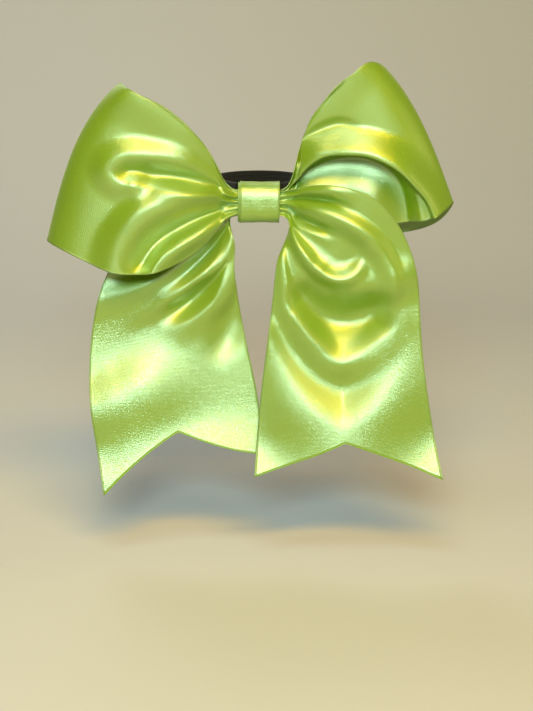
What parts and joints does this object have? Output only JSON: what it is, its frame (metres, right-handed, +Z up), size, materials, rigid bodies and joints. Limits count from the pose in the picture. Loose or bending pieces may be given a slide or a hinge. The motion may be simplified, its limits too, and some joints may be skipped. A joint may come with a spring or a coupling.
{
  "type": "cheer hair bow",
  "caption": "Large satin ribbon hair bow with raised loops and fork-cut tails, gathered under a narrow ribbon wrap, on a flat elastic hair band.",
  "frame": {"origin": "centre of the round back of the elastic hair band, where the ponytail goes", "axes": "+Z up along the ponytail's hole, the bow's face looks along -Y, +X to the right of someone who looks at the face"},
  "size_m": [0.1646, 0.0639, 0.1732],
  "materials": {
    "satin_ribbon": "glossy lime satin",
    "wrap_ribbon": "glossy lime satin",
    "elastic": "matte black braid",
    "nylon_tie": "natural nylon",
    "hot_glue": "cloudy glue",
    "thread": "black thread"
  },
  "bodies": {
    "knot": {"waist_front_layer": "satin_ribbon", "waist_middle_layer": "satin_ribbon", "waist_back_layer": "satin_ribbon", "cable_tie": "nylon_tie", "centre_wrap": "wrap_ribbon", "wrap_glue_left": "hot_glue", "wrap_glue_right": "hot_glue", "hair_band_front": "elastic"},
    "band_sides": {"hair_band_side_left": "elastic", "hair_band_side_right": "elastic"},
    "band_back": {"hair_band_back": "elastic", "band_stitch_1": "thread", "band_stitch_2": "thread", "band_stitch_3": "thread"},
    "left_loop": {"left_loop_front": "satin_ribbon", "left_loop_fold": "satin_ribbon", "left_loop_back": "satin_ribbon"},
    "right_loop": {"right_loop_front": "satin_ribbon", "right_loop_fold": "satin_ribbon", "right_loop_back": "satin_ribbon"},
    "left_tail": {"left_tail": "satin_ribbon"},
    "right_tail": {"right_tail": "satin_ribbon"}
  },
  "joints": [
    {"name": "left_loop_perk", "type": "hinge", "parent": "knot", "child": "left_loop", "pos_m": [-0.004, -0.0269, -0.0026], "axis": [0, 1, 0], "range_deg": [-8, 8], "stiffness_Nm_per_rad": 0.05},
    {"name": "right_loop_perk", "type": "hinge", "parent": "knot", "child": "right_loop", "pos_m": [0.004, -0.0269, -0.0026], "axis": [0, 1, 0], "range_deg": [-8, 8], "stiffness_Nm_per_rad": 0.05},
    {"name": "left_tail_swing", "type": "hinge", "parent": "knot", "child": "left_tail", "pos_m": [-0.004, -0.0269, -0.0026], "axis": [0, 1, 0], "range_deg": [-6, 14], "stiffness_Nm_per_rad": 0.05},
    {"name": "right_tail_swing", "type": "hinge", "parent": "knot", "child": "right_tail", "pos_m": [0.004, -0.0269, -0.0026], "axis": [0, 1, 0], "range_deg": [-14, 6], "stiffness_Nm_per_rad": 0.05},
    {"name": "band_tilt", "type": "hinge", "parent": "knot", "child": "band_sides", "pos_m": [0, -0.0209, 0], "axis": [1, 0, 0], "range_deg": [-35, 35], "stiffness_Nm_per_rad": 0.05},
    {"name": "band_stretch", "type": "slide", "parent": "band_sides", "child": "band_back", "axis": [0, 1, 0], "range_m": [0, 0.025], "stiffness_N_per_m": 150, "deforming": ["hair_band_side_left", "hair_band_side_right"]}
  ]
}
